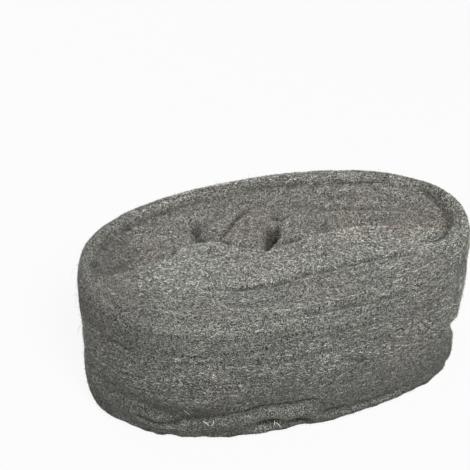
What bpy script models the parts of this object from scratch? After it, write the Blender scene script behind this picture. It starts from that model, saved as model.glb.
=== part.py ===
"""A pad of steel wool: one carded strip, wound flat into an oval roll that stands on its edge."""

import math

import bmesh
import bpy

# The strip, in metres
STRIP_WIDTH = 0.085
STRIP_THICKNESS = 0.0076
TURN_GAP = 0.0004

# The winding, with its sections closer together along the flat middle than round the ends
TURNS = 6.66
STEPS_PER_TURN = 68
SECTION_CROWDING = 0.2
START_ANGLE = math.radians(94)
CORE_HALF_LENGTH = 0.048
CORE_RADIUS = 0.0008
SQUARENESS = 0.03
FRONT_STEEPNESS = 0.85

# The closed slit at the core, and the hole left beside the strip's inner end
SLIT_HALF_WIDTH = 0.0006
STEP_OVER_TURNS = 0.065

# The two ends of the strip: blunt at the core, thinned out on the outside
FEATHER_THICKNESS = 0.0016
FEATHER_TURNS = 0.22
BLUNTING_TURNS = 0.02
BLUNTING_DEPTH = 0.0020

# The upper side: a crest in front of the core, a hollow behind it, and a rim round the hollow
CREST_FALL = 0.0008
CREST_BACK = (
    (-0.100, -0.0050), (-0.060, -0.0015), (-0.048, 0.0080), (-0.034, 0.0070), (-0.022, -0.0010),
    (-0.006, -0.0045), (0.018, -0.0035), (0.034, -0.0010), (0.052, -0.0010), (0.080, -0.0100),
    (0.100, -0.0060),
)
CREST_BACK_WIDTH = 0.0036
RECESS_DEPTH = 0.0066
SHELF_RISE = 0.0038
SHELF_REACH = 0.0160
SHOULDER_FALL = 0.0036
SHOULDER_FALL_FROM_TURN = 3.2
RIM_LEAD_TURNS = 0.18
EDGE_WANDER = 0.0005
WANDERS_PER_TURN = 2.3

# Bunches and hollows of the wool, each a place in plan, a reach, the width of its edge and a rise
FLAP = ((-0.0110, 0.0150), 0.0165, 0.0050, 0.0050)
LOBE = ((0.0140, 0.0105), 0.0120, 0.0040, 0.0058)
DIMPLE = ((-0.0380, 0.0245), 0.0105, 0.0080, -0.0046)
PIT = ((-0.0010, 0.0065), 0.0060, 0.0040, -0.0070)
LEFT_HOLLOW = ((-0.0740, 0.0100), 0.0160, 0.0120, -0.0012)

# Long folds on the upper side, each a line of places in plan, a half width and a rise
RIDGE = (((0.024, 0.0200), (0.045, 0.0175), (0.066, 0.0090)), 0.0055, 0.0024)
RIDGE_FURROW = (((0.040, 0.0085), (0.055, 0.0065), (0.068, 0.0020)), 0.0035, -0.0028)
LEFT_FURROW = (((-0.041, -0.0295), (-0.022, -0.0315), (-0.003, -0.0315)), 0.0045, -0.0030)
RIGHT_FURROW = (((0.030, -0.0275), (0.045, -0.0260), (0.062, -0.0235)), 0.0045, -0.0024)

# The rounding of the strip's long edges
EDGE_RADIUS = 0.0018
SLIT_EDGE_RADIUS = 0.0042
CREASE_RADIUS = 0.0046
CREASE_AT_TURN = 3.5
CREASE_SPAN_TURNS = 0.6
RIM_INNER_RADIUS = 0.0036
RIM_OUTER_RADIUS = 0.0036
SHOULDER_RADIUS = 0.0120
FOOT_RADIUS = 0.0012
OUTER_FOOT_RADIUS = 0.0036
FULLEST_ROUNDING = 0.45
FULLEST_CREASE = 0.70

# The hem: a crease low on the outside with a lip below it, and its height and depth along the front
HEM = (
    (-0.101, 0.0250, 0.0026), (-0.080, 0.0200, 0.0034), (-0.069, 0.0140, 0.0036), (-0.032, 0.0215, 0.0036),
    (0.002, 0.0190, 0.0032), (0.010, 0.0090, 0.0024), (0.060, 0.0080, 0.0018),
)
HEM_UPPER_REACH = 0.0110
HEM_LOWER_REACH = 0.0070
HEM_FACING = math.radians(-80)
UNCOVERING_TURNS = 0.06
LIP_BULGE = 0.0006
BELLY_BULGE = 0.0010

# The lean of the outside at the right end, where the lower half is tucked in
LEAN_DEPTH = 0.0030
LEAN_FACING = math.radians(-10)
BELLY_LEAN_SHARE = 0.4

# Shares of the strip's thickness where its upper edge has a point
UPPER_EDGE_SHARES = (0.13, 0.33, 0.55, 0.75, 0.91)

WOOL_COLOUR = (0.172, 0.170, 0.153, 1.0)
WOOL_METALLIC = 0.6
WOOL_ROUGHNESS = 0.62
SMOOTH_ANGLE = math.radians(40)

ARC_MIDDLE = 1.0 - math.sqrt(0.5)
PITCH = STRIP_THICKNESS + TURN_GAP
STATIONS = round(TURNS * STEPS_PER_TURN)


def eased(share):
    """A share from 0 to 1 that starts and ends gently."""
    held = min(max(share, 0.0), 1.0)
    return held * held * (3.0 - 2.0 * held)


def mixed(first, second, share):
    return first + (second - first) * share


def angle_at(turn):
    return START_ANGLE + 2.0 * math.pi * turn


def turn_at(station):
    """The turn that this section of the strip has come to."""
    even_turn = station / STEPS_PER_TURN
    return even_turn + SECTION_CROWDING * math.sin(2.0 * angle_at(even_turn)) / (2.0 * math.pi)


def front_share(angle):
    """1 on the front of the oval, 0 on its back, a half at both ends."""
    return eased(0.5 - FRONT_STEEPNESS * math.sin(angle))


def plan_point(radius, angle):
    """The place in plan of a surface that lies this far outside the core line."""
    fullness = 1.0 + SQUARENESS * math.sin(2.0 * angle) ** 2
    x = (CORE_HALF_LENGTH + radius) * math.cos(angle) * fullness
    y = radius * math.sin(angle) * fullness
    return x, y


def wound_radius(turn):
    """The radius of the face between one turn and the next."""
    return CORE_RADIUS + PITCH * turn


def inner_radius(turn):
    """The first turn fills the core down to the slit, then steps out over the strip's own start."""
    wound = wound_radius(turn) + 0.5 * TURN_GAP
    step = eased((turn - 1.0 + STEP_OVER_TURNS) / STEP_OVER_TURNS)
    blunting = (1.0 - eased(turn / BLUNTING_TURNS)) * BLUNTING_DEPTH
    return mixed(SLIT_HALF_WIDTH, wound, step) + blunting


def wound_turns():
    return turn_at(STATIONS)


def feather_share(turn):
    """1 along the strip, fading to 0 at its outer end."""
    return eased((wound_turns() - turn) / FEATHER_TURNS)


def outer_radius(turn):
    full = wound_radius(turn + 1.0) - 0.5 * TURN_GAP
    thin = wound_radius(turn) + 0.5 * TURN_GAP + FEATHER_THICKNESS
    return mixed(thin, full, feather_share(turn))


def rim_share(turn):
    """How far the strip has become the outermost wrap, ahead of where it is uncovered."""
    return eased((turn - (wound_turns() - 1.0 - RIM_LEAD_TURNS)) / RIM_LEAD_TURNS)


def outside_share(turn, angle, facing):
    """1 on the uncovered outside where it faces this way, 0 on its far side and on covered wool."""
    uncovered = eased((turn - (wound_turns() - 1.0)) / UNCOVERING_TURNS)
    return uncovered * eased(0.5 + 0.5 * math.cos(angle - facing))


def along(line, x, column):
    """A value that a line of places gives at this x, straight between them."""
    if x <= line[0][0]:
        return line[0][column]
    for here, there in zip(line, line[1:]):
        if x <= there[0]:
            return mixed(here[column], there[column], (x - here[0]) / (there[0] - here[0]))
    return line[-1][column]


def bunched(bunch, x, y):
    """The rise of one bunch of wool, level in its middle."""
    place, reach, edge, rise = bunch
    distance = math.hypot(x - place[0], y - place[1])
    return rise * eased((reach - distance) / edge)


def folded(fold, x, y):
    """The rise of one long fold, which fades out past both of its ends."""
    line, half_width, rise = fold
    across = eased(1.0 - abs(y - along(line, x, 1)) / half_width)
    past_end = max(line[0][0] - x, x - line[-1][0])
    return rise * across * eased(1.0 - past_end / half_width)


def recess_depth(x, y, radius, turn):
    """How far the wool behind the crest lies below it, and less so beside the rim."""
    behind = eased(0.5 + (y - along(CREST_BACK, x, 1)) / CREST_BACK_WIDTH)
    rim_radius = wound_radius(turn + math.floor(wound_turns() - turn))
    shelf = 1.0 - eased((rim_radius - radius) / SHELF_REACH)
    return behind * (RECESS_DEPTH - SHELF_RISE * shelf)


def upper_height(radius, turn, angle):
    """The height of the wool's upper side, before its edges are rounded."""
    x, y = plan_point(radius, angle)
    lumps = sum(bunched(bunch, x, y) for bunch in (FLAP, LOBE, DIMPLE, PIT, LEFT_HOLLOW))
    lumps += sum(folded(fold, x, y) for fold in (RIDGE, RIDGE_FURROW, LEFT_FURROW, RIGHT_FURROW))
    lumps += EDGE_WANDER * math.sin(2.0 * math.pi * WANDERS_PER_TURN * turn)
    sunk = (CREST_FALL + recess_depth(x, y, radius, turn) - lumps) * (1.0 - rim_share(turn))
    outwards = eased((turn - SHOULDER_FALL_FROM_TURN) / (wound_turns() - SHOULDER_FALL_FROM_TURN))
    return STRIP_WIDTH - sunk - SHOULDER_FALL * outwards * front_share(angle)


def crease_share(turn, angle):
    """The one deep crease between two turns, in front of the crest."""
    return eased(1.0 - abs(turn - CREASE_AT_TURN) / CREASE_SPAN_TURNS) * front_share(angle)


def edge_radii(turn, angle):
    """The rounding of the upper edge on its inner and its outer side."""
    rim = rim_share(turn)
    plain = SLIT_EDGE_RADIUS if turn < 1.0 else EDGE_RADIUS
    plain_inner = mixed(plain, CREASE_RADIUS, crease_share(turn, angle))
    beside_rim = rim_share(turn + 1.0) * (1.0 - front_share(angle))
    deep_share = max(crease_share(turn + 1.0, angle), beside_rim)
    plain_outer = mixed(EDGE_RADIUS, CREASE_RADIUS, deep_share)
    rim_outer = mixed(RIM_OUTER_RADIUS, SHOULDER_RADIUS, front_share(angle) ** 2)
    return mixed(plain_inner, RIM_INNER_RADIUS, rim), mixed(plain_outer, rim_outer, rim)


def rounded_drop(depth, radius):
    """How far a rounded edge lies below its crown at this depth from the face."""
    inwards = radius - min(max(depth, 0.0), radius)
    return radius - math.sqrt(radius * radius - inwards * inwards)


def upper_edge(inner, outer, turn, angle):
    """Points over the top of the strip, from its inner face to its outer."""
    thickness = outer - inner
    inner_edge, outer_edge = edge_radii(turn, angle)
    points = []
    for share in (0.0, *UPPER_EDGE_SHARES, 1.0):
        depth = share * thickness
        drop = rounded_drop(depth, inner_edge) + rounded_drop(thickness - depth, outer_edge)
        points.append((inner + depth, upper_height(inner + depth, turn, angle) - drop))
    return points


def outer_face(outer, thickness, top, turn, angle):
    """Points down the outside: a slight belly, the hem's crease and the lip under it."""
    hem = outside_share(turn, angle, HEM_FACING)
    lean = outside_share(turn, angle, LEAN_FACING) * min(LEAN_DEPTH, FULLEST_ROUNDING * thickness)
    x, _ = plan_point(outer, angle)
    crease = min(hem * along(HEM, x, 2), FULLEST_CREASE * thickness - lean)
    foot = min(mixed(FOOT_RADIUS, OUTER_FOOT_RADIUS, hem), FULLEST_ROUNDING * thickness)
    height = along(HEM, x, 1)
    above = height + HEM_UPPER_REACH
    below = height - min(HEM_LOWER_REACH, 0.5 * height)
    return [
        (outer - BELLY_LEAN_SHARE * lean + hem * BELLY_BULGE, 0.5 * (above + top)),
        (outer - lean, above),
        (outer - lean - crease, height),
        (outer - lean + hem * LIP_BULGE, below),
        (outer - lean - ARC_MIDDLE * foot, ARC_MIDDLE * foot),
        (outer - lean - foot, 0.0),
    ]


def section_points(turn, angle):
    """The strip's cross-section as (radius, height), up the inner face and down the outer."""
    inner = inner_radius(turn)
    outer = outer_radius(turn)
    foot = min(FOOT_RADIUS, FULLEST_ROUNDING * (outer - inner))
    over = upper_edge(inner, outer, turn, angle)
    down = outer_face(outer, outer - inner, over[-1][1], turn, angle)
    return [(inner + foot, 0.0), (inner, foot), *over, *down]


def add_section(mesh, station):
    turn = turn_at(station)
    angle = angle_at(turn)
    return [
        mesh.verts.new((*plan_point(radius, angle), height))
        for radius, height in section_points(turn, angle)
    ]


def join_sections(mesh, first, second):
    for here in range(len(first)):
        after = (here + 1) % len(first)
        mesh.faces.new((first[here], first[after], second[after], second[here]))


def centred(mesh):
    """Puts the middle of the box that holds the roll over the origin."""
    for axis in range(2):
        places = [vert.co[axis] for vert in mesh.verts]
        middle = 0.5 * (min(places) + max(places))
        for vert in mesh.verts:
            vert.co[axis] -= middle


def wound_strip_mesh():
    mesh = bmesh.new()
    sections = [add_section(mesh, station) for station in range(STATIONS + 1)]
    for first, second in zip(sections, sections[1:]):
        join_sections(mesh, first, second)
    mesh.faces.new(reversed(sections[0]))
    mesh.faces.new(sections[-1])
    bmesh.ops.recalc_face_normals(mesh, faces=mesh.faces)
    centred(mesh)
    data = bpy.data.meshes.new("wool_roll")
    mesh.to_mesh(data)
    mesh.free()
    return data


def steel_wool_material():
    material = bpy.data.materials.new("steel_wool")
    material.use_nodes = True
    shader = material.node_tree.nodes["Principled BSDF"]
    shader.inputs["Base Color"].default_value = WOOL_COLOUR
    shader.inputs["Metallic"].default_value = WOOL_METALLIC
    shader.inputs["Roughness"].default_value = WOOL_ROUGHNESS
    return material


def add_wool_roll():
    data = wound_strip_mesh()
    data.materials.append(steel_wool_material())
    data.shade_smooth()
    data.set_sharp_from_angle(angle=SMOOTH_ANGLE)
    roll = bpy.data.objects.new("wool_roll", data)
    bpy.context.scene.collection.objects.link(roll)
    return roll


def clear_scene():
    for thing in list(bpy.data.objects):
        bpy.data.objects.remove(thing)


clear_scene()
add_wool_roll()
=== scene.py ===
"""The looks of a wound pad of steel wool: its matted body, its fibres, the light and the camera."""

import math

import bpy
import numpy as np
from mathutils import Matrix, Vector
from mathutils.bvhtree import BVHTree


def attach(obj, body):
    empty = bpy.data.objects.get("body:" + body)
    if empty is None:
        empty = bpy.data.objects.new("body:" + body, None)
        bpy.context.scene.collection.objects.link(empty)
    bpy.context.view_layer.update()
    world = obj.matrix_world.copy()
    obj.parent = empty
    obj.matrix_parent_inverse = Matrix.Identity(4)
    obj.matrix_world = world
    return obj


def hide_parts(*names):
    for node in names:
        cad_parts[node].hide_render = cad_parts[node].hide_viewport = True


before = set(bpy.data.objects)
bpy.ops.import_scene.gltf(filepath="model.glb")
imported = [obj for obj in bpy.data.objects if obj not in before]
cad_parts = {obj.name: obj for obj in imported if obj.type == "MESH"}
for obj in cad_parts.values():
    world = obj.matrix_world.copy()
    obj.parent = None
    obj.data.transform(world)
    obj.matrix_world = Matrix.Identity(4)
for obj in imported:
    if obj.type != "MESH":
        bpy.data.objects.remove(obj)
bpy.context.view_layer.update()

# The winding, in metres: the core line that every turn goes round, and the strip's width
CORE_MIDDLE = (0.00214, 0.00132)
CORE_HALF_LENGTH = 0.048
STRIP_WIDTH = 0.085

# The grid that the body's skin is made on: columns round the roll, rows from under it up to its core
COLUMNS = 560
FLOOR_ROWS = 14
SIDE_ROWS = 88
RIM_ROWS = 18
TOP_ROWS = 48

# Where the side's rows begin and the points that the rim's rows turn round
SIDE_FOOT = 0.0012
RIM_TARGET_HEIGHT = 0.072
RIM_TARGET_DEPTH = 0.0060
RIM_FIRST_RISE = math.radians(5)
RIM_LAST_RISE = math.radians(86)

# The rays that find the solid's surface: how far outside the core they start, their length round the rim, and
# the depth from which what they meet lies in a gap between two turns
RAY_START = 0.090
RIM_RAY_LENGTH = 0.030
GAP_DEPTH = 0.0140

# How far the skin stays above the floor, and inside the solid's surface
FLOOR_CLEARANCE = 0.0004
SKIN_INSET = 0.0004

# How far facets are smoothed, in rows and columns, how many rows of a gap between turns are matted over, and
# how many times its own width a smoothing reaches
SIDE_SMOOTHING = (1.6, 2.0)
TOP_SMOOTHING = (1.2, 2.5)
GAP_ROWS = 5
SMOOTHING_REACH = 3.0

# How softly the combed front shoulder ends at its crease, how far the rim is combed and over how many rows
SHOULDER_EDGE = 0.008
RIM_COMBED_SHARE = 0.7
RIM_COMBED_ROWS = 4.0

# The cells of the noises, each way
NOISE_CELLS = 32

# The matting of the skin: each a depth, a length along the winding, a length across it and a seed
SIDE_WAVES = (
    (0.0004, 0.034, 0.020, 11),
    (0.00025, 0.016, 0.0050, 12),
    (0.00015, 0.0090, 0.0024, 13),
)

# The matting of the upper side, where the strip's cut edge shows: each a depth, a length and a seed
TOP_WAVES = (
    (0.0004, 0.018, 21),
    (0.0002, 0.0080, 22),
    (0.0001, 0.0040, 23),
)

# The crest: the line of its back edge in plan, its height, and the step down behind it
CREST_BACK = (
    (-0.078, -0.003), (-0.068, -0.001), (-0.058, 0.000), (-0.046, 0.0095), (-0.032, 0.008),
    (-0.0205, 0.000), (-0.007, -0.005), (0.0045, -0.0055), (0.021, -0.003), (0.036, 0.001),
    (0.051, 0.0005), (0.072, -0.0085),
)
CREST_HEIGHT = 0.0842
CREST_DEPTH = 0.012
CREST_FRONT_FADE = 0.010
CREST_EDGE = 0.0042
CREST_STEP = 0.0008
CREST_STEP_REACH = 0.010
CREST_END_FADE = 0.014

# Lines of the upper side in plan: the creases behind the front shoulder, inside the rim and along the front
# flap, the one that hooks round the hollow's right end, and the hollow's two creases with the ridge between
FRONT_CREASE = (
    (-0.069, -0.0190), (-0.062, -0.0228), (-0.046, -0.0280), (-0.034, -0.0304), (-0.024, -0.0314),
    (-0.013, -0.0312), (-0.003, -0.0310), (0.007, -0.0278), (0.019, -0.0286), (0.027, -0.0270),
    (0.038, -0.0258), (0.056, -0.0262), (0.064, -0.0254),
)
RIM_CREASE = (
    (-0.0100, 0.0515), (0.0014, 0.0510), (0.0096, 0.0503), (0.0260, 0.0484), (0.0392, 0.0454),
    (0.0525, 0.0424), (0.0686, 0.0391), (0.0789, 0.0359), (0.0857, 0.0308),
)
FLAP_CREASE = (
    (-0.0420, 0.0125), (-0.0340, 0.0135), (-0.0255, 0.0175), (-0.0154, 0.0277), (-0.0080, 0.0349),
)
HOOK = (
    (0.0789, 0.0359), (0.0857, 0.0308), (0.0925, 0.0190), (0.0945, 0.0080), (0.0940, 0.0000),
    (0.0900, -0.0088), (0.0848, -0.0153), (0.0780, -0.0187), (0.0701, -0.0193),
)
NEAR_CREASE = ((0.0320, 0.0050), (0.0395, 0.0095), (0.0475, 0.0098), (0.0590, 0.0045), (0.0700, -0.0010))
RIDGE = ((0.0260, 0.0130), (0.0420, 0.0160), (0.0610, 0.0130), (0.0740, 0.0090))
FAR_CREASE = ((0.0265, 0.0313), (0.0350, 0.0263), (0.0441, 0.0249), (0.0547, 0.0230), (0.0700, 0.0190))

# Creases of the upper side, each a line in plan, a depth and a half width; the ridge stands up
CREASES = (
    (FRONT_CREASE[2:5], 0.0010, 0.0020),
    (FRONT_CREASE[3:7], 0.0028, 0.0017),
    (FRONT_CREASE[6:], 0.0026, 0.0017),
    (FLAP_CREASE, 0.0030, 0.0019),
    (((-0.0280, 0.0068), (-0.0160, -0.0008), (-0.0080, -0.0044)), 0.0020, 0.0016),
    (((0.0007, 0.0226), (0.0057, 0.0249), (0.0096, 0.0230), (0.0104, 0.0165)), 0.0018, 0.0018),
    (NEAR_CREASE, 0.0030, 0.0016),
    (((-0.0641, -0.0010), (-0.0571, 0.0072), (-0.0483, 0.0135)), 0.0016, 0.0019),
    (((-0.0900, 0.0090), (-0.0780, 0.0110), (-0.0710, 0.0180), (-0.0530, 0.0180)), 0.0009, 0.0030),
    (FAR_CREASE, 0.0010, 0.0026),
    (RIDGE, -0.0012, 0.0032),
    (RIM_CREASE, 0.0012, 0.0015),
    (HOOK, 0.0022, 0.0018),
    (((-0.0365, 0.0340), (-0.0373, 0.0260), (-0.0360, 0.0185)), 0.0022, 0.0020),
)

# How creases fade out at their ends: the share of the depth that is there, and how fast the rest comes
CREASE_END_START = 0.3
CREASE_END_RISE = 6.0

# The rim's combed band: how wide it is, and how wide its inner edge
RIM_BAND = 0.0078
RIM_BAND_EDGE = 0.0014

# Folds of the upper side that stand up, each an outline in plan and a height at its front and at its back,
# and how softly their edges fall
FLAP = (
    (-0.0290, 0.0112), (-0.0205, 0.0185), (-0.0125, 0.0270), (-0.0050, 0.0335), (0.0005, 0.0310),
    (0.0035, 0.0240), (0.0015, 0.0120), (-0.0050, 0.0000), (-0.0100, -0.0035), (-0.0170, 0.0000),
)
LOBE = (
    (0.0036, 0.0136), (0.0110, 0.0205), (0.0177, 0.0208), (0.0190, 0.0142), (0.0155, 0.0045),
    (0.0096, -0.0009), (0.0002, -0.0012),
)
FOLDS = (
    (FLAP, 0.0836, 0.0800),
    (LOBE, 0.0854, 0.0838),
)
FOLD_EDGE = 0.0036

# Dimples of the upper side, each a place in plan, a reach and a depth
DIMPLES = (
    ((-0.0372, 0.0215), 0.0070, 0.0030),
    ((-0.0950, 0.0095), 0.0040, 0.0014),
    ((-0.0755, 0.0385), 0.0035, 0.0010),
    ((-0.0724, 0.0345), 0.0040, 0.0012),
    ((-0.0769, 0.0250), 0.0050, 0.0012),
    ((-0.0719, 0.0035), 0.0045, 0.0014),
    ((-0.0794, -0.0030), 0.0050, 0.0014),
)

# The leaning hole beside the strip's inner end: its line in plan, its depth and its half width
HOLE_LINE = ((0.0010, 0.0150), (-0.0024, 0.0092), (-0.0048, 0.0036), (-0.0066, -0.0010), (-0.0078, -0.0046))
HOLE_DEPTH = 0.0130
HOLE_HALF_WIDTH = 0.0023

# Creases of the front, each a line of places along x and up z, a depth and a half width, and how softly the
# front begins at the roll's two ends
HEM_LINE = (
    (-0.0640, 0.0130), (-0.0400, 0.0170), (-0.0225, 0.0200), (-0.0130, 0.0196), (-0.0026, 0.0187),
    (0.0056, 0.0192),
)
LOW_CREASE = ((0.0085, 0.0090), (0.0275, 0.0078), (0.0440, 0.0076), (0.0600, 0.0082))
NOTCH = (
    (0.0860, 0.0340), (0.0900, 0.0300), (0.0945, 0.0226), (0.0965, 0.0165), (0.0995, 0.0120),
    (0.1010, 0.0060),
)
SIDE_CREASES = (
    (HEM_LINE, 0.0014, 0.0012),
    (HEM_LINE[1:], 0.0012, 0.0010),
    (LOW_CREASE, 0.0014, 0.0012),
    (((0.0170, 0.0460), (0.0330, 0.0400)), 0.0014, 0.0016),
    (((0.0380, 0.0500), (0.0520, 0.0545)), 0.0014, 0.0014),
    (((-0.0960, 0.0600), (-0.0860, 0.0575)), 0.0014, 0.0014),
    (((-0.0850, 0.0130), (-0.0760, 0.0100), (-0.0640, 0.0120)), 0.0022, 0.0012),
    (NOTCH, 0.0030, 0.0024),
)
FRONT_EDGE = 0.006

# The two holes above the lip: a place seen from the front, a reach along and up, a slope and a depth
LIP_HOLES = (
    ((-0.0206, 0.0080), (0.0054, 0.0031), 0.10, 0.0120),
    ((-0.0040, 0.0056), (0.0045, 0.0027), -0.12, 0.0105),
)

# The shaded band at the hem's left: its line, how much darker it is and its half width
HEM_SHADE = ((-0.0960, 0.0250), (-0.0800, 0.0195), (-0.0650, 0.0155), (-0.0350, 0.0165))
HEM_SHADE_DARKENING = 0.30
HEM_SHADE_HALF_WIDTH = 0.0070

# How ragged the lower edge is: a depth, a length along it and a seed, up to what height, and its rounding
RAGGED_EDGE = (0.0012, 0.0055, 14)
RAGGED_HEIGHT = 0.0060
FOOT_ROUNDING = 0.0026

# Fibres lie thinner in hollows, and painted shade darkens them and the body there: how wide the surroundings
# are, in rows and columns, the depth of a full hollow, how far it thins the fibres and paints shade on them,
# and what is left of the body's lightness there
HOLLOW_REACH = (3.0, 4.0)
HOLLOW_FULL = 0.0012
HOLLOW_THINNING = 0.55
HOLLOW_PAINTED_SHADE = 0.70
HOLLOW_PAINTED_SHADE_BODY_SHARE = 0.45

# Painted shade behind the crest's step and low on the outside, and a darker shoulder in front of the crest
BEHIND_PAINTED_SHADE = 0.26
BEHIND_FAR_SHARE = 0.95
BEHIND_REACH = 0.009
SHOULDER_DARKENING = 0.16
SHOULDER_SHADE_EDGE = 0.004
LOW_PAINTED_SHADE = 0.80
LOW_HEIGHT = 0.041

# The wool is darker at the upper left, from a place along x and a height on
LEFT_DARKENING = 0.42
LEFT_PLACE = -0.060
LEFT_FADE = 0.028
LEFT_HEIGHT = 0.040
LEFT_HEIGHT_FADE = 0.030

# Thin dark streaks along the winding: the length and width of the noises that they follow, their seeds and
# strengths, how near to none the noise must be, what is left of them at the right, from where to where they
# fade, and how far they darken and thin the wool
STREAKS = (
    (0.0120, 0.0014, 33, 0.6),
    (0.0520, 0.0021, 34, 0.9),
)
STREAK_NEARNESS = 0.12
STREAK_RIGHT_SHARE = 0.7
STREAK_FADE = (-0.050, 0.040)
STREAK_DARKENING = 0.85
STREAK_THINNING = 0.9

# The fibres, in groups: a name, how many pieces, how many fibres in each, how many pairs of points along each
# fibre, lengths and half widths
FELT = ("wool_felt", 3, 95000, 1, (0.0006, 0.0017), (0.00008, 0.00014))
FIBRES = ("wool_fibres", 1, 45000, 2, (0.0013, 0.0032), (0.00006, 0.00011))
LONG_FIBRES = ("wool_long_fibres", 1, 3500, 4, (0.0030, 0.0070), (0.00004, 0.00008))
FIBRE_GROUPS = (FELT, FIBRES, LONG_FIBRES)
FIBRE_SEED = 41

# How fibres lie: how far they are twisted, how high their middles and ends lift off the skin and how deep the
# ends may sink, how far they wander, also by their spread, and how narrow a cell of the grid counts at least
TWIST_SPREAD = 1.0
MIDDLE_LIFT = 0.0004
LOOSE_LIFT = 0.00035
END_SINKING = 0.0003
WANDER = 0.25
SPREAD_WANDER = 0.2
NARROWEST_CELL = 0.0004

# How many more places are tried than fibres are laid, and how thickly the fibres lie underneath
SEED_SURPLUS = 2
FLOOR_DENSITY = 0.25

# Fibres that have come loose at one end: few of them lift far, and the rest lie nearly flat
STRAYS = 160
STRAY_LENGTHS = (0.008, 0.020)
STRAY_HALF_WIDTHS = (0.00004, 0.00007)
STRAY_PAIRS = 7
# The strays' added lightness is a painted highlight
STRAY_PAINTED_HIGHLIGHT = 0.15
STRAY_LIFT = 0.0045
STRAY_LOOSENESS = 3
STRAY_LEAST_LIFT = 0.0003
STRAY_UNEVENNESS = 0.0002
STRAY_MORE_SPREAD = 0.3
STRAY_WANDER = 0.35

# Strands that stand up from the foot of the front: each a place along x and up z and a lean
STANDING = (
    (-0.0594, 0.0165, -0.60), (-0.0502, 0.0115, -0.75), (-0.0489, 0.0115, 0.20), (-0.0133, 0.0050, -0.55),
    (-0.0155, 0.0020, 0.20),
)
STANDING_LENGTH = 0.0055
STANDING_HALF_WIDTH = 0.00014
STANDING_LIFT = 0.0012
STANDING_BOW = 0.0005
# Their lightness is a painted highlight: the glint of light along them
STANDING_PAINTED_HIGHLIGHT = 0.95

# How far the fibres' headings spread on the felted and the combed parts, and how much longer and finer the
# combed ones are
FELT_SPREAD = 1.0
COMBED_SPREAD = 0.20
COMBED_STRETCH = 1.2
COMBED_FINENESS = 0.60

# The steel's colours, cool and warm, and how warm the wool is in front of the crest and behind it
COOL_TONE = (0.43, 0.445, 0.402, 1.0)
WARM_TONE = (0.47, 0.42, 0.365, 1.0)
WARMTH_IN_FRONT = 0.18
WARMTH_BEHIND = 0.55
WARMTH_EDGE = 0.012
WARMTH_PATCHES = 0.45
WARMTH_PATCH_LENGTH = 0.022
WARMTH_PATCH_SEED = 31
WARMTH_SPREAD = 0.12

# How far the fibres' lightness goes down and up from those colours, and where the felted and the combed
# fibres lie between the two: a middle and a spread, all of them scaled by one lightness
# The spread is partly random tone, partly painted glints on the lightest fibres and painted shade on the
# darkest
DARKEST = 0.08
LIGHTEST = 2.1
LIGHTNESS = 0.95
FELTED_LIGHT = (0.22, 0.40)
COMBED_LIGHT = (0.12, 0.74)

# The body under the fibres: its two colours, the fineness and detail of its grain, where the grain turns from
# dark to light, and how strong and deep its bumps are
# The body's dark colours are partly painted shade: the shade deep in the wool between the fibres
BODY_DARK = (0.012, 0.012, 0.010, 1.0)
BODY_LIGHT = (0.24, 0.238, 0.215, 1.0)
BODY_GRAIN_SCALE = 1500.0
BODY_GRAIN_DETAIL = 2.0
BODY_GRAIN_TURN = (0.44, 0.60)
BODY_BUMP_STRENGTH = 0.8
BODY_BUMP_DEPTH = 0.0008

# How metallic and how rough the body and the fibres are
BODY_FINISH = (0.3, 0.7)
FIBRE_FINISH = (0.30, 0.60)

# The camera: its place, how far it is turned and looks down, its sensor, and its lens in sensor widths
CAMERA_PLACE = (-0.1753, -0.5803, 0.5605)
CAMERA_HEADING = math.radians(14.69)
CAMERA_FALL = math.radians(38.0)
SENSOR = 36.0
FOCAL_SHARE = 1500.0 / 470.0

# The light: the white background's, as it falls on the wool and as it is seen, and lamps that are turned to
# one target, each with a place, a width and a power
WHITE = (1.0, 1.0, 1.0, 1.0)
WORLD_LIGHT = 0.30
SEEN_LIGHT = 1.0
LAMP_TARGET = (0.0, 0.0, 0.04)
LAMPS = (
    ("key_lamp", (0.05, -0.80, 1.10), 0.50, 24.0),
    ("fill_lamp", (0.95, -0.30, 0.6), 0.6, 1.2),
    ("back_lamp", (-0.35, 0.90, 0.55), 0.6, 5.0),
)

# The floor: half its width, its paleness, the light that it shows and the share of that
FLOOR_HALF = 3.0
FLOOR_PALENESS = 0.25
FLOOR_GLOW = 1.08
FLOOR_WHITE_SHARE = 0.85

# The fibres' tone map, and the painted shade that the body keeps at each of its points, darker in hollows
BAKE_MAP = "OFBake"
SHADE = "shade"

# How much of the tone map one fibre takes up, across and along it, and the part of the map that is used
TONE_SPOT = (0.012, 0.03)
TONE_RANGE = (0.01, 0.95)

# The least length that something is divided by
SHORTEST = 1e-12


def eased(share):
    """A share from 0 to 1 that starts and ends gently."""
    held = np.clip(share, 0.0, 1.0)
    return held * held * (3.0 - 2.0 * held)


def mixed(first, second, share):
    """The first value at a share of 0, the second at 1."""
    return first + (second - first) * share


def gaussian(values, sigma, axis, wraps):
    """Values smoothed along one axis of a grid, round and round where it wraps."""
    reach = max(1, int(math.ceil(SMOOTHING_REACH * sigma)))
    offsets = np.arange(-reach, reach + 1)
    weights = np.exp(-0.5 * (offsets / sigma) ** 2)
    weights /= weights.sum()
    count = values.shape[axis]
    total = np.zeros_like(values)
    for offset, weight in zip(offsets, weights):
        index = np.arange(count) + offset
        index = index % count if wraps else np.clip(index, 0, count - 1)
        total += weight * np.take(values, index, axis=axis)
    return total


def smoothed(grid, sigmas):
    """A grid of the skin smoothed up its rows and round its columns."""
    return gaussian(gaussian(grid, sigmas[0], 0, False), sigmas[1], 1, True)


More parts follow.
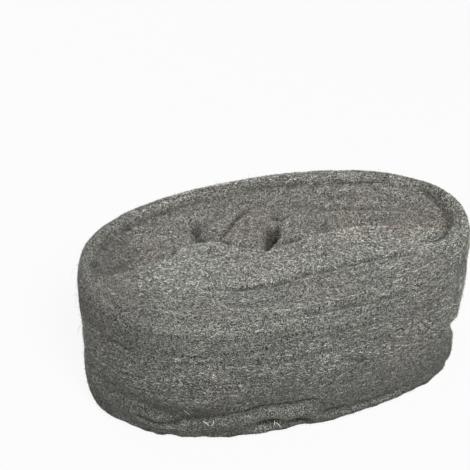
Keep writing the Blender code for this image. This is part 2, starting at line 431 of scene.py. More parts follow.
class Noise:
    """Smooth seeded noise in space, from -1 to 1."""

    def __init__(self, seed):
        self.values = np.random.default_rng(seed).uniform(-1.0, 1.0, (NOISE_CELLS,) * 3)

    def at(self, points):
        low = np.floor(points).astype(int)
        share = eased(points - low)
        total = np.zeros(points.shape[:-1])
        for corner in np.ndindex(2, 2, 2):
            index = (low + corner) % NOISE_CELLS
            weight = np.prod(np.where(corner, share, 1.0 - share), axis=-1)
            total += weight * self.values[index[..., 0], index[..., 1], index[..., 2]]
        return total


def angles():
    """The angle of each column round the roll."""
    return 2.0 * math.pi * np.arange(COLUMNS) / COLUMNS


def plan(radius, angle):
    """The place in plan this far outside the core line."""
    x = CORE_MIDDLE[0] + (CORE_HALF_LENGTH + radius) * np.cos(angle)
    y = CORE_MIDDLE[1] + radius * np.sin(angle)
    return x, y


def hit(tree, start, ahead, longest):
    """Where a ray meets the solid, or None."""
    place, _, _, _ = tree.ray_cast(Vector(start), Vector(ahead), longest)
    return place


def side_profile(tree):
    """Radius and height of the rows up the outside."""
    heights = np.linspace(SIDE_FOOT, RIM_TARGET_HEIGHT, SIDE_ROWS)
    radii = np.full((SIDE_ROWS, COLUMNS), np.nan)
    for column, angle in enumerate(angles()):
        out = np.array([math.cos(angle), math.sin(angle)])
        start = plan(RAY_START, angle)
        for row, height in enumerate(heights):
            place = hit(tree, (*start, height), (-out[0], -out[1], 0.0), RAY_START)
            if place is not None:
                radii[row, column] = RAY_START - math.dist(place[:2], start)
    radii = smoothed(filled(radii), SIDE_SMOOTHING)
    return radii, np.repeat(heights[:, None], COLUMNS, axis=1)


def filled(grid):
    """Puts straight runs where a column of the grid holds nothing."""
    rows = np.arange(len(grid))
    for column in grid.T:
        there = np.isfinite(column)
        column[~there] = np.interp(rows[~there], rows[there], column[there])
    return grid


def rim_profile(tree, edge):
    """Radius and height of the rows over the rounded rim."""
    rises = np.linspace(RIM_FIRST_RISE, RIM_LAST_RISE, RIM_ROWS)
    radii = np.zeros((RIM_ROWS, COLUMNS))
    heights = np.zeros((RIM_ROWS, COLUMNS))
    for column, angle in enumerate(angles()):
        inner = edge[column] - RIM_TARGET_DEPTH
        for row, rise in enumerate(rises):
            reach = RIM_RAY_LENGTH * math.cos(rise)
            start = (*plan(inner + reach, angle), RIM_TARGET_HEIGHT + RIM_RAY_LENGTH * math.sin(rise))
            flat = -math.cos(rise)
            ahead = (flat * math.cos(angle), flat * math.sin(angle), -math.sin(rise))
            place = hit(tree, start, ahead, RIM_RAY_LENGTH)
            left = RIM_RAY_LENGTH - (place - Vector(start)).length if place is not None else 0.0
            radii[row, column] = inner + left * math.cos(rise)
            heights[row, column] = RIM_TARGET_HEIGHT + left * math.sin(rise)
    return smoothed(radii, TOP_SMOOTHING), smoothed(heights, TOP_SMOOTHING)


def widened(grid, rows, pick):
    """The grid's highest or lowest value among neighbouring rows."""
    padded = np.pad(grid, ((rows, rows), (0, 0)), mode="edge")
    return pick([padded[row:row + len(grid)] for row in range(2 * rows + 1)], axis=0)


def shoulder_share(x, y):
    """1 on the front shoulder, 0 behind its crease."""
    return eased((line_y(x, FRONT_CREASE) - y) / SHOULDER_EDGE)


def top_profile(tree, edge):
    """Radius and height of the rows from the rim to the core line, the gaps between turns matted over."""
    shares = np.linspace(1.0, 0.0, TOP_ROWS)
    radii = shares[:, None] * (edge - RIM_TARGET_DEPTH)[None, :]
    heights = np.full((TOP_ROWS, COLUMNS), np.nan)
    for column, angle in enumerate(angles()):
        for row in range(TOP_ROWS):
            start = (*plan(radii[row, column], angle), 2.0 * STRIP_WIDTH)
            place = hit(tree, start, (0.0, 0.0, -1.0), 2.0 * STRIP_WIDTH)
            if place is not None and place.z > STRIP_WIDTH - GAP_DEPTH:
                heights[row, column] = place.z
    heights = filled(heights)
    return radii, smoothed(widened(widened(heights, GAP_ROWS, np.max), GAP_ROWS, np.min), TOP_SMOOTHING)


def floor_profile(foot):
    """Radius and height of the rows underneath."""
    shares = np.linspace(0.0, 1.0, FLOOR_ROWS, endpoint=False)
    radii = shares[:, None] * (foot - SIDE_FOOT)[None, :]
    return radii, np.full(radii.shape, FLOOR_CLEARANCE)


def distance_to_line(x, y, line):
    """How far points in a plane lie from a line, and the share of the line's length nearest to each."""
    line = np.array(line)
    lengths = np.linalg.norm(np.diff(line, axis=0), axis=1)
    before = np.concatenate([[0.0], np.cumsum(lengths)])
    best = np.full(x.shape, np.inf)
    share = np.zeros(x.shape)
    for start, end, length, run in zip(line, line[1:], lengths, before):
        way = (end - start) / length
        along = np.clip((x - start[0]) * way[0] + (y - start[1]) * way[1], 0.0, length)
        off = np.hypot(x - start[0] - along * way[0], y - start[1] - along * way[1])
        nearer = off < best
        best = np.where(nearer, off, best)
        share = np.where(nearer, (run + along) / before[-1], share)
    return best, share


def line_depth(x, y, line, depth, half_width):
    """How deep a crease is at points in a plane."""
    off, share = distance_to_line(x, y, line)
    ends = eased(CREASE_END_RISE * share + CREASE_END_START)
    ends *= eased(CREASE_END_RISE * (1.0 - share) + CREASE_END_START)
    return depth * ends * np.exp(-((off / half_width) ** 2))


def inside_by(x, y, outline):
    """How far points in plan lie inside an outline, below 0 outside it."""
    off, _ = distance_to_line(x, y, outline + outline[:1])
    inside = np.zeros(x.shape, bool)
    for (ax, ay), (bx, by) in zip(outline, outline[1:] + outline[:1]):
        crosses = (ay > y) != (by > y)
        reached = ax + (y - ay) * (bx - ax) / (by - ay if by != ay else 1.0)
        inside ^= crosses & (x < reached)
    return np.where(inside, off, -off)


def line_y(x, line):
    """The y of a line in plan at each x."""
    return np.interp(x, [place[0] for place in line], [place[1] for place in line])


def front_share(y):
    """1 on the front, 0 on the back."""
    return eased((CORE_MIDDLE[1] - y) / FRONT_EDGE)


def crested(x, y, z):
    """Heights with the crest raised to its level and the step down behind it."""
    before = line_y(x, CREST_BACK) - y
    ends = eased((x - CREST_BACK[0][0] + CREST_END_FADE) / CREST_END_FADE)
    ends *= eased((CREST_BACK[-1][0] + CREST_END_FADE - x) / CREST_END_FADE)
    crest = eased((before + 0.5 * CREST_EDGE) / CREST_EDGE)
    crest *= 1.0 - eased((before - CREST_DEPTH) / CREST_FRONT_FADE)
    step = eased(-before / CREST_EDGE) * (1.0 - eased((-before - 2.0 * CREST_EDGE) / CREST_STEP_REACH))
    raised = np.maximum(z, mixed(z, CREST_HEIGHT, crest * ends))
    return raised - CREST_STEP * step * ends


def folded(x, y, z):
    """Heights with the folds laid over them."""
    for outline, front_height, back_height in FOLDS:
        low, high = min(place[1] for place in outline), max(place[1] for place in outline)
        height = mixed(front_height, back_height, eased((y - low) / (high - low)))
        share = eased(0.5 + inside_by(x, y, outline) / FOLD_EDGE)
        z = np.maximum(z, mixed(z, height, share))
    return z


def upper_heights(x, y, z):
    """Heights of the upper side with its crest, folds, creases, dimples and hole."""
    z = folded(x, y, crested(x, y, z))
    for line, depth, half_width in CREASES:
        z = z - line_depth(x, y, line, depth, half_width)
    for place, reach, depth in DIMPLES:
        z = z - depth * eased(1.0 - np.hypot(x - place[0], y - place[1]) / reach)
    return z - line_depth(x, y, HOLE_LINE, HOLE_DEPTH, HOLE_HALF_WIDTH)


def side_creases(x, y, z):
    """How deep the creases and the holes of the front are."""
    front = front_share(y)
    depth = np.zeros(x.shape)
    for line, most, half_width in SIDE_CREASES:
        depth = depth + front * line_depth(x, z, line, most, half_width)
    for (place_x, place_z), (along, up), slope, most in LIP_HOLES:
        level = place_z + slope * (x - place_x)
        off = ((x - place_x) / along) ** 2 + ((z - level) / up) ** 2
        depth = depth + front * most * np.exp(-off)
    return depth


def top_share():
    """For each row, 0 on the outside and 1 on the upper side."""
    row = np.arange(FLOOR_ROWS + SIDE_ROWS + RIM_ROWS + TOP_ROWS)
    return eased((row - FLOOR_ROWS - SIDE_ROWS) / RIM_ROWS)[:, None]


def combed_share(places):
    """Where the fibres lie combed along the winding: on the outside, the front shoulder and the rim."""
    shoulder = shoulder_share(places[..., 0], places[..., 1])
    past_rim = np.arange(len(places)) - FLOOR_ROWS - SIDE_ROWS - RIM_ROWS
    rim = RIM_COMBED_SHARE * (1.0 - eased(past_rim / RIM_COMBED_ROWS))[:, None]
    return np.maximum(1.0 - top_share(), np.maximum(shoulder, rim))


def skin_places():
    """The places of the skin's grid, before it is matted, and how far each lies inside the outer edge."""
    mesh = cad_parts["wool_roll"].data
    tree = BVHTree.FromPolygons([v.co for v in mesh.vertices], [p.vertices for p in mesh.polygons])
    side_radii, side_heights = side_profile(tree)
    edge = side_radii[-1]
    rim_radii, rim_heights = rim_profile(tree, edge)
    top_radii, top_heights = top_profile(tree, edge)
    floor_radii, floor_heights = floor_profile(side_radii[0])
    radii = np.concatenate([floor_radii, side_radii, rim_radii, top_radii])
    heights = np.concatenate([floor_heights, side_heights, rim_heights, top_heights])
    x, y = plan(radii, angles()[None, :])
    return np.stack([x, y, heights], axis=-1), edge[None, :] - radii


def normals_of(places):
    """Outward normals of the grid, and how far apart its rows and columns are."""
    across = np.roll(places, -1, axis=1) - np.roll(places, 1, axis=1)
    up = np.gradient(places, axis=0)
    normal = np.cross(across, up)
    length = np.linalg.norm(normal, axis=-1, keepdims=True)
    normal = normal / np.maximum(length, SHORTEST)
    gaps = 0.5 * np.linalg.norm(across, axis=-1), np.linalg.norm(up, axis=-1)
    return normal, gaps


def grain_places(places):
    """Where each point of the grid lies along and across the winding, as a place in space with no seam."""
    steps = np.linalg.norm(np.diff(places, axis=0), axis=-1).mean(axis=1)
    run = np.concatenate([[0.0], np.cumsum(steps)])
    side = places[FLOOR_ROWS + SIDE_ROWS // 2]
    length = np.linalg.norm(side - np.roll(side, 1, axis=0), axis=-1)
    share = np.cumsum(length) / length.sum()
    radius = length.sum() / (2.0 * math.pi)
    turn = 2.0 * math.pi * share
    grain = np.zeros(places.shape)
    grain[..., 0] = radius * np.cos(turn)[None, :]
    grain[..., 1] = radius * np.sin(turn)[None, :]
    grain[..., 2] = run[:, None]
    return grain


def matted(places, grain):
    """The skin with its forms, its hole and the waves of its matting."""
    upper = top_share()
    x, y, z = places[..., 0].copy(), places[..., 1].copy(), places[..., 2].copy()
    places[..., 2] = mixed(z, upper_heights(x, y, z), upper)
    normal, _ = normals_of(places)
    side_wave = -side_creases(x, y, z)
    for depth, along, across, seed in SIDE_WAVES:
        side_wave += depth * Noise(seed).at(grain / np.array([along, along, across]))
    ragged, length, seed = RAGGED_EDGE
    low = np.clip(1.0 - z / RAGGED_HEIGHT, 0.0, 1.0)
    side_wave += ragged * low * Noise(seed).at(grain / length) - FOOT_ROUNDING * low ** 2
    top_wave = np.zeros(x.shape)
    for depth, length, seed in TOP_WAVES:
        top_wave += depth * Noise(seed).at(places / length)
    places += normal * (mixed(side_wave, top_wave, upper) - SKIN_INSET)[..., None]
    places[..., 2] = np.maximum(places[..., 2], FLOOR_CLEARANCE)
    for row in (0, -1):
        mirrored = np.roll(places[row][::-1], 1, axis=0)
        places[row] = 0.5 * (places[row] + mirrored)
    return places


class Skin:
    """The finished skin, to lay fibres on."""

    def __init__(self, places, inset, grain):
        self.places = places
        self.grain = grain
        self.rim = 1.0 - eased((inset - RIM_BAND) / RIM_BAND_EDGE)
        self.normals, (self.column_gaps, self.row_gaps) = normals_of(places)
        self.last = len(places) - 1
        self.combed = combed_share(places)
        self.hollow = self.hollows()

    def hollows(self):
        """How far each point lies below its surroundings, along its normal."""
        wide = np.stack([smoothed(self.places[..., axis], HOLLOW_REACH) for axis in range(3)], axis=-1)
        return np.clip(((wide - self.places) * self.normals).sum(axis=-1) / HOLLOW_FULL, 0.0, 1.0)

    def at(self, grid, row, column):
        """A grid's values between its rows and columns."""
        low_row = np.clip(np.floor(row).astype(int), 0, self.last - 1)
        low_column = np.floor(column).astype(int)
        up = row - low_row
        on = column - low_column
        if grid.ndim == 3:
            up, on = up[..., None], on[..., None]
        left = low_column % COLUMNS
        right = (low_column + 1) % COLUMNS
        near = mixed(grid[low_row, left], grid[low_row, right], on)
        far = mixed(grid[low_row + 1, left], grid[low_row + 1, right], on)
        return mixed(near, far, up)

    def scattered(self, count, density, rng):
        """Rows and columns of points spread evenly over the skin, by area and density."""
        weight = (self.column_gaps * self.row_gaps * density)[:-1].ravel()
        total = np.cumsum(weight)
        cell = np.searchsorted(total, rng.uniform(0.0, total[-1], count))
        cell = np.minimum(cell, len(total) - 1)
        return cell // COLUMNS + rng.uniform(0, 1, count), cell % COLUMNS + rng.uniform(0, 1, count)

    def walk(self, row, column, heading, step, wander, steps, rng):
        """Rows and columns passed by lines that follow the skin, step by step."""
        rows, columns = [row], [column]
        for _ in range(steps):
            heading = heading + rng.normal(0.0, 1.0, len(row)) * wander
            row_gap = np.maximum(self.at(self.row_gaps, row, column), NARROWEST_CELL)
            column_gap = np.maximum(self.at(self.column_gaps, row, column), NARROWEST_CELL)
            row = row + np.sin(heading) * step / row_gap
            column = column + np.cos(heading) * step / column_gap
            over = row > self.last
            row = np.where(over, 2.0 * self.last - row, row)
            column = np.where(over, COLUMNS - column, column)
            heading = np.where(over, heading + math.pi, heading)
            row = np.clip(row, 0.0, self.last)
            rows.append(row)
            columns.append(column)
        return np.array(rows).T, np.array(columns).T


def principled(name, metallic, roughness):
    material = bpy.data.materials.new(name)
    material.use_nodes = True
    shader = material.node_tree.nodes["Principled BSDF"]
    shader.inputs["Metallic"].default_value = metallic
    shader.inputs["Roughness"].default_value = roughness
    return material, material.node_tree, shader


def body_material():
    """The matted wool under the fibres: a fine grain of dark and light, with painted shade in hollows."""
    material, tree, shader = principled("wool_mat", *BODY_FINISH)
    place = tree.nodes.new("ShaderNodeTexCoord")
    noise = tree.nodes.new("ShaderNodeTexNoise")
    noise.inputs["Scale"].default_value = BODY_GRAIN_SCALE
    noise.inputs["Detail"].default_value = BODY_GRAIN_DETAIL
    ramp = tree.nodes.new("ShaderNodeValToRGB")
    for element, turn, colour in zip(ramp.color_ramp.elements, BODY_GRAIN_TURN, (BODY_DARK, BODY_LIGHT)):
        element.position = turn
        element.color = colour
    bump = tree.nodes.new("ShaderNodeBump")
    bump.inputs["Strength"].default_value = BODY_BUMP_STRENGTH
    bump.inputs["Distance"].default_value = BODY_BUMP_DEPTH
    tree.links.new(place.outputs["Object"], noise.inputs["Vector"])
    tree.links.new(noise.outputs["Fac"], ramp.inputs["Fac"])
    shade = tree.nodes.new("ShaderNodeAttribute")
    shade.attribute_name = SHADE
    scaled = tree.nodes.new("ShaderNodeVectorMath")
    scaled.operation = "SCALE"
    tree.links.new(ramp.outputs["Color"], scaled.inputs[0])
    tree.links.new(shade.outputs["Fac"], scaled.inputs["Scale"])
    tree.links.new(scaled.outputs["Vector"], shader.inputs["Base Color"])
    tree.links.new(noise.outputs["Fac"], bump.inputs["Height"])
    tree.links.new(bump.outputs["Normal"], shader.inputs["Normal"])
    return material


def fibre_material():
    """Steel fibres. Their map holds no picture: it goes from cool to warm steel, and from dark to light."""
    material, tree, shader = principled("wool_fibre", *FIBRE_FINISH)
    place = tree.nodes.new("ShaderNodeUVMap")
    place.uv_map = BAKE_MAP
    parts = tree.nodes.new("ShaderNodeSeparateXYZ")
    tone = tree.nodes.new("ShaderNodeMix")
    tone.data_type = "RGBA"
    tone.inputs["A"].default_value = COOL_TONE
    tone.inputs["B"].default_value = WARM_TONE
    light = tree.nodes.new("ShaderNodeMapRange")
    light.inputs["To Min"].default_value = DARKEST
    light.inputs["To Max"].default_value = LIGHTEST
    scaled = tree.nodes.new("ShaderNodeVectorMath")
    scaled.operation = "SCALE"
    tree.links.new(place.outputs["UV"], parts.inputs["Vector"])
    tree.links.new(parts.outputs["X"], tone.inputs["Factor"])
    tree.links.new(parts.outputs["Y"], light.inputs["Value"])
    tree.links.new(tone.outputs["Result"], scaled.inputs[0])
    tree.links.new(light.outputs["Result"], scaled.inputs["Scale"])
    tree.links.new(scaled.outputs["Vector"], shader.inputs["Base Color"])
    return material


def new_object(name, places, faces, coordinates, material):
    """A mesh piece, with the bake map's place of each corner of each face."""
    mesh = bpy.data.meshes.new(name)
    mesh.vertices.add(len(places))
    mesh.vertices.foreach_set("co", places.astype(np.float32).ravel())
    mesh.loops.add(faces.size)
    mesh.loops.foreach_set("vertex_index", faces.astype(np.int32).ravel())
    mesh.polygons.add(len(faces))
    mesh.polygons.foreach_set("loop_start", np.arange(0, faces.size, faces.shape[1], dtype=np.int32))
    layer = mesh.uv_layers.new(name=BAKE_MAP)
    layer.uv.foreach_set("vector", coordinates.astype(np.float32).ravel())
    mesh.update(calc_edges=True)
    mesh.shade_smooth()
    mesh.materials.append(material)
    piece = bpy.data.objects.new(name, mesh)
    bpy.context.scene.collection.objects.link(piece)
    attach(piece, "root")
    return piece


def add_body(skin):
    """The skin as one closed piece, folded onto itself along the core line above and below."""
    rows = skin.last + 1
    row, column = np.meshgrid(np.arange(rows - 1), np.arange(COLUMNS), indexing="ij")
    corner_rows = np.stack([row, row, row + 1, row + 1], axis=-1).reshape(-1, 4)
    corner_columns = np.stack([column, column + 1, column + 1, column], axis=-1).reshape(-1, 4)
    wrapped = corner_columns % COLUMNS
    mirrored = (COLUMNS - wrapped) % COLUMNS
    closed = (corner_rows == 0) | (corner_rows == rows - 1)
    wrapped = np.where(closed, np.minimum(wrapped, mirrored), wrapped)
    used = corner_rows * COLUMNS + wrapped
    kept, faces = np.unique(used, return_inverse=True)
    coordinates = np.stack([corner_columns / COLUMNS, corner_rows / (rows - 1)], axis=-1)
    places = skin.places.reshape(-1, 3)[kept]
    piece = new_object("wool_body", places, faces.reshape(-1, 4), coordinates, body_material())
    # Painted shade on the body: darker in hollows
    shade = mixed(1.0, HOLLOW_PAINTED_SHADE_BODY_SHARE, skin.hollow).reshape(-1)[kept]
    piece.data.attributes.new(SHADE, "FLOAT", "POINT").data.foreach_set("value", shade.astype(np.float32))
    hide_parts("wool_roll")
    return piece


def ribbons(lines, normals, half_widths, twists, tones):
    """Flat fibres with pointed ends along the lines, each turned about its own length, and their tones."""
    count, points, _ = lines.shape
    pairs = points - 2
    ahead = lines[:, 2:] - lines[:, :-2]
    ahead /= np.maximum(np.linalg.norm(ahead, axis=-1, keepdims=True), SHORTEST)
    side = np.cross(ahead, normals[:, 1:-1])
    side /= np.maximum(np.linalg.norm(side, axis=-1, keepdims=True), SHORTEST)
    up = np.cross(side, ahead)
    turned = twists[:, None, None]
    offset = half_widths[:, None, None] * (np.cos(turned) * side + np.sin(turned) * up)
    places = np.zeros((count, 2 * pairs + 2, 3))
    places[:, 0] = lines[:, 0]
    places[:, 1:-1:2] = lines[:, 1:-1] - offset
    places[:, 2:-1:2] = lines[:, 1:-1] + offset
    places[:, -1] = lines[:, -1]
    faces = [(0, 2, 1)]
    for pair in range(1, pairs):
        left, right = 2 * pair - 1, 2 * pair
        faces.append((right, right + 2, left + 2))
        faces.append((right, left + 2, left))
    faces.append((2 * pairs - 1, 2 * pairs, 2 * pairs + 1))
    faces = np.array(faces)
    along = np.concatenate([[0], np.repeat(np.arange(1, pairs + 1), 2), [pairs + 1]]) / (pairs + 1)
    around = np.concatenate([[0], np.tile((0, 1), pairs), [1]])
    spot = np.stack([TONE_SPOT[0] * around, TONE_SPOT[1] * along], axis=-1)
    coordinates = tones[:, None, None, :] + spot[faces][None]
    starts = np.arange(count)[:, None, None] * (2 * pairs + 2)
    return places.reshape(-1, 3), (faces[None] + starts).reshape(-1, 3), coordinates.reshape(-1, 3, 2)


def streaks_at(skin, row, column):
    """1 in the middle of a streak on the combed parts, less at the right, and 0 between the streaks."""
    place = skin.at(skin.grain, row, column)
    start, end = STREAK_FADE
    right = eased((skin.at(skin.places, row, column)[:, 0] - start) / (end - start))
    total = np.zeros(len(place))
    for along, across, seed, strength in STREAKS:
        wave = Noise(seed).at(place / np.array([along, along, across]))
        total += strength * np.exp(-((wave / STREAK_NEARNESS) ** 2))
    combed = mixed(1.0, STREAK_RIGHT_SHARE, right) * skin.at(skin.combed, row, column)
    return combed * np.minimum(total, 1.0)


def tones_at(skin, row, column, rng):
    """Where each fibre lies on the tone map: cool to warm, and dark to light with painted shade."""
    place = skin.at(skin.places, row, column)
    combed = skin.at(skin.combed, row, column)
    behind = place[:, 1] - line_y(place[:, 0], CREST_BACK)
    warm = mixed(WARMTH_IN_FRONT, WARMTH_BEHIND, (1.0 - combed) * eased(0.5 + behind / WARMTH_EDGE))
    warm += WARMTH_PATCHES * Noise(WARMTH_PATCH_SEED).at(place / WARMTH_PATCH_LENGTH)
    warm += WARMTH_SPREAD * rng.normal(0.0, 1.0, len(row))
    middle = mixed(FELTED_LIGHT[0], COMBED_LIGHT[0], combed)
    spread = mixed(FELTED_LIGHT[1], COMBED_LIGHT[1], combed)
    light = LIGHTNESS * np.clip(middle + spread * rng.normal(0.0, 1.0, len(row)), 0.0, 1.0)
    # Painted shade behind the crest, low on the outside and along the hem, with the darker shoulder and upper
    # left
    shade = crest_shade(place, skin.at(skin.rim, row, column)) + left_shade(place) + low_shade(place)
    light *= np.maximum(1.0 - shade, 0.0) * (1.0 - STREAK_DARKENING * streaks_at(skin, row, column))
    # Painted shade in hollows
    light *= 1.0 - HOLLOW_PAINTED_SHADE * skin.at(skin.hollow, row, column)
    return np.clip(np.stack([warm, light], axis=-1), *TONE_RANGE)


def crest_shade(place, rim):
    """Painted shade behind the crest, and how much darker the wool is on the shoulder in front of it."""
    x, y = place[:, 0], place[:, 1]
    behind = y - line_y(x, CREST_BACK)
    far = 1.0 - (1.0 - BEHIND_FAR_SHARE) * eased(behind / BEHIND_REACH)
    in_front = eased((line_y(x, FRONT_CREASE) - y) / SHOULDER_SHADE_EDGE)
    darker = BEHIND_PAINTED_SHADE * far * eased(behind / CREST_EDGE) * (1.0 - rim)
    return SHOULDER_DARKENING * in_front + darker


def low_shade(place):
    """How much painted shade darkens the wool low on the outside, and along the hem's left."""
    low = LOW_PAINTED_SHADE * np.clip(1.0 - place[:, 2] / LOW_HEIGHT, 0.0, 1.0)
    hem = line_depth(place[:, 0], place[:, 2], HEM_SHADE, HEM_SHADE_DARKENING, HEM_SHADE_HALF_WIDTH)
    return low + hem * front_share(place[:, 1])


def left_shade(place):
    """How much darker the wool is at the upper left."""
    left = eased((LEFT_PLACE - place[:, 0]) / LEFT_FADE)
    return LEFT_DARKENING * left * eased((place[:, 2] - LEFT_HEIGHT) / LEFT_HEIGHT_FADE)


def spread_at(skin, row, column):
    """How far the fibres' headings spread: combed along the outside, felted on the upper side."""
    return mixed(FELT_SPREAD, COMBED_SPREAD, skin.at(skin.combed, row, column))


def seeds(skin, count, floor_density, rng):
    """Where fibres start: thinned in hollows and between the streaks."""
    density = 1.0 - HOLLOW_THINNING * skin.hollow
    density[:FLOOR_ROWS] *= floor_density
    row, column = skin.scattered(SEED_SURPLUS * count, density, rng)
    worth = rng.uniform(0.0, 1.0, len(row)) - STREAK_THINNING * streaks_at(skin, row, column)
    kept = np.argsort(worth)[-count:]
    return row[kept], column[kept]


def add_fibres(name, skin, rng, material, count, pairs, lengths, half_widths):
    """One piece of many fibres that lie on the skin."""
    row, column = seeds(skin, count, FLOOR_DENSITY, rng)
    spread = spread_at(skin, row, column)
    heading = rng.normal(0.0, 1.0, count) * spread + math.pi * rng.integers(0, 2, count)
    steps = pairs + 1
    combed = skin.at(skin.combed, row, column)
    length = rng.uniform(*lengths, count) * mixed(1.0, COMBED_STRETCH, combed)
    wander = WANDER + SPREAD_WANDER * spread
    rows, columns = skin.walk(row, column, heading, length / steps, wander, steps, rng)
    normals = skin.at(skin.normals, rows, columns)
    lift = rng.uniform(0.0, MIDDLE_LIFT, rows.shape)
    lift[:, (0, -1)] = rng.exponential(LOOSE_LIFT, (count, 2)) - END_SINKING
    lines = skin.at(skin.places, rows, columns) + normals * lift[..., None]
    lines[..., 2] = np.maximum(lines[..., 2], FLOOR_CLEARANCE)
    twists = rng.normal(0.0, TWIST_SPREAD, count)
    wide = rng.uniform(*half_widths, count) * mixed(1.0, COMBED_FINENESS, combed)
    parts = ribbons(lines, normals, wide, twists, tones_at(skin, row, column, rng))
    return new_object(name, *parts, material)


def add_strays(skin, rng, material):
    """Long fibres with an end that has come loose."""
    row, column = seeds(skin, STRAYS, 0.0, rng)
    spread = spread_at(skin, row, column) + STRAY_MORE_SPREAD
    heading = rng.normal(0.0, 1.0, STRAYS) * spread + math.pi * rng.integers(0, 2, STRAYS)
    steps = STRAY_PAIRS + 1
    length = rng.uniform(*STRAY_LENGTHS, STRAYS)
    rows, columns = skin.walk(row, column, heading, length / steps, STRAY_WANDER, steps, rng)
    normals = skin.at(skin.normals, rows, columns)
    share = np.linspace(0.0, 1.0, steps + 1)[None, :]
    loose = rng.uniform(0.0, 1.0, (STRAYS, 1)) ** STRAY_LOOSENESS
    lift = STRAY_LEAST_LIFT + STRAY_LIFT * loose * share ** 2
    lift = lift + STRAY_UNEVENNESS * rng.normal(0.0, 1.0, rows.shape)
    lift[:, 0] = -END_SINKING
    lines = skin.at(skin.places, rows, columns) + normals * lift[..., None]
    lines[..., 2] = np.maximum(lines[..., 2], FLOOR_CLEARANCE)
    tones = tones_at(skin, row, column, rng)
    # Painted highlight on the strays
    tones[:, 1] = np.clip(tones[:, 1] + STRAY_PAINTED_HIGHLIGHT, *TONE_RANGE)
    twists = rng.normal(0.0, TWIST_SPREAD, STRAYS)
    parts = ribbons(lines, normals, rng.uniform(*STRAY_HALF_WIDTHS, STRAYS), twists, tones)
    return new_object("wool_strays", *parts, material)


def add_standing(skin, material):
    """A few strands that stand up from the foot of the front, made bright by a painted highlight."""
    side = slice(FLOOR_ROWS, FLOOR_ROWS + SIDE_ROWS)
    places, normals = skin.places[side].reshape(-1, 3), skin.normals[side].reshape(-1, 3)
    behind = places[:, 1] > CORE_MIDDLE[1]
    share = np.linspace(0.0, 1.0, STRAY_PAIRS + 2)[:, None]
    lines, outward = [], []
    for x, z, lean in STANDING:
        near = np.argmin(np.hypot(places[:, 0] - x, places[:, 2] - z) + behind)
        along = np.cross((0.0, 0.0, 1.0), normals[near])
        ahead = math.cos(lean) * np.array((0.0, 0.0, 1.0)) + math.sin(lean) * along
        bow = STANDING_BOW * np.sin(math.pi * share) * along
        out = (LOOSE_LIFT + STANDING_LIFT * share) * normals[near]
        lines.append(places[near] + STANDING_LENGTH * share * ahead + bow + out)
        outward.append(np.repeat(normals[near][None], len(share), axis=0))
    flat = np.zeros(len(STANDING))
    tones = np.tile((WARMTH_IN_FRONT, STANDING_PAINTED_HIGHLIGHT), (len(STANDING), 1))
    parts = ribbons(np.array(lines), np.array(outward), flat + STANDING_HALF_WIDTH, flat, tones)
    return new_object("wool_strands", *parts, material)


def seen_share(tree):
    """1 for rays from the camera, and for those that a mirror or glass sends on."""
    path = tree.nodes.new("ShaderNodeLightPath")
    first = tree.nodes.new("ShaderNodeMath")
    first.operation = "MAXIMUM"
    second = tree.nodes.new("ShaderNodeMath")
    second.operation = "MAXIMUM"
    tree.links.new(path.outputs["Is Camera Ray"], first.inputs[0])
    tree.links.new(path.outputs["Is Glossy Ray"], first.inputs[1])
    tree.links.new(first.outputs["Value"], second.inputs[0])
    tree.links.new(path.outputs["Is Transmission Ray"], second.inputs[1])
    return second.outputs["Value"]


def add_world():
    """A white background that gives the wool a dimmer, even light."""
    world = bpy.data.worlds.new("studio")
    bpy.context.scene.world = world
    world.use_nodes = True
    tree = world.node_tree
    lit = tree.nodes["Background"]
    shown = tree.nodes.new("ShaderNodeBackground")
    for background, strength in ((lit, WORLD_LIGHT), (shown, SEEN_LIGHT)):
        background.inputs["Color"].default_value = WHITE
        background.inputs["Strength"].default_value = strength
    mix = tree.nodes.new("ShaderNodeMixShader")
    tree.links.new(seen_share(tree), mix.inputs["Fac"])
    tree.links.new(lit.outputs["Background"], mix.inputs[1])
    tree.links.new(shown.outputs["Background"], mix.inputs[2])
    tree.links.new(mix.outputs["Shader"], tree.nodes["World Output"].inputs["Surface"])


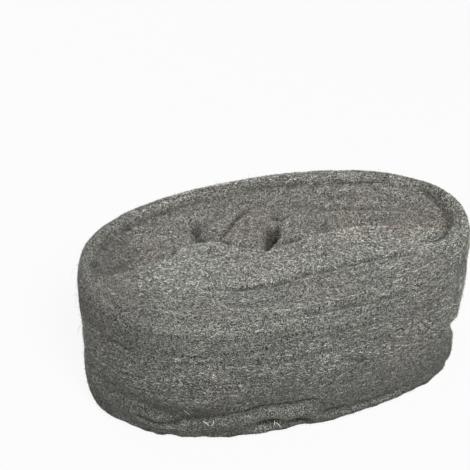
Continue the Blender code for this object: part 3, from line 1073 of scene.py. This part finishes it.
def floor_material():
    """A pale floor that shows white where nothing shades it."""
    material = bpy.data.materials.new("studio_floor")
    material.use_nodes = True
    tree = material.node_tree
    tree.nodes.remove(tree.nodes["Principled BSDF"])
    diffuse = tree.nodes.new("ShaderNodeBsdfDiffuse")
    diffuse.inputs["Color"].default_value = (FLOOR_PALENESS, FLOOR_PALENESS, FLOOR_PALENESS, 1.0)
    glow = tree.nodes.new("ShaderNodeEmission")
    glow.inputs["Strength"].default_value = FLOOR_GLOW
    scale = tree.nodes.new("ShaderNodeMath")
    scale.operation = "MULTIPLY"
    scale.inputs[1].default_value = FLOOR_WHITE_SHARE
    mix = tree.nodes.new("ShaderNodeMixShader")
    tree.links.new(seen_share(tree), scale.inputs[0])
    tree.links.new(scale.outputs["Value"], mix.inputs["Fac"])
    tree.links.new(diffuse.outputs["BSDF"], mix.inputs[1])
    tree.links.new(glow.outputs["Emission"], mix.inputs[2])
    tree.links.new(mix.outputs["Shader"], tree.nodes["Material Output"].inputs["Surface"])
    return material


def add_floor():
    mesh = bpy.data.meshes.new("floor")
    corners = [(FLOOR_HALF * x, FLOOR_HALF * y, 0.0) for x, y in ((-1, -1), (1, -1), (1, 1), (-1, 1))]
    mesh.from_pydata(corners, [], [(0, 1, 2, 3)])
    mesh.materials.append(floor_material())
    floor = bpy.data.objects.new("floor", mesh)
    bpy.context.scene.collection.objects.link(floor)


def add_lamp(name, place, size, power):
    light = bpy.data.lights.new(name, "AREA")
    light.shape = "DISK"
    light.size = size
    light.energy = power
    lamp = bpy.data.objects.new(name, light)
    lamp.location = place
    lamp.rotation_euler = (Vector(LAMP_TARGET) - Vector(place)).to_track_quat("-Z", "Y").to_euler()
    bpy.context.scene.collection.objects.link(lamp)


def add_camera():
    data = bpy.data.cameras.new("camera")
    data.sensor_width = SENSOR
    data.lens = SENSOR * FOCAL_SHARE
    camera = bpy.data.objects.new("camera", data)
    camera.location = CAMERA_PLACE
    camera.rotation_euler = (0.5 * math.pi - CAMERA_FALL, 0.0, -CAMERA_HEADING)
    bpy.context.scene.collection.objects.link(camera)
    bpy.context.scene.camera = camera


bpy.context.scene.view_settings.view_transform = "Standard"
add_camera()
add_world()
add_floor()
for lamp in LAMPS:
    add_lamp(*lamp)

bare, inset = skin_places()
grain = grain_places(bare)
skin = Skin(matted(bare, grain), inset, grain)
add_body(skin)
fibre = fibre_material()
rng = np.random.default_rng(FIBRE_SEED)
for name, pieces, *kind in FIBRE_GROUPS:
    for number in range(1, pieces + 1):
        add_fibres(f"{name}_{number}", skin, rng, fibre, *kind)
add_strays(skin, rng, fibre)
add_standing(skin, fibre)
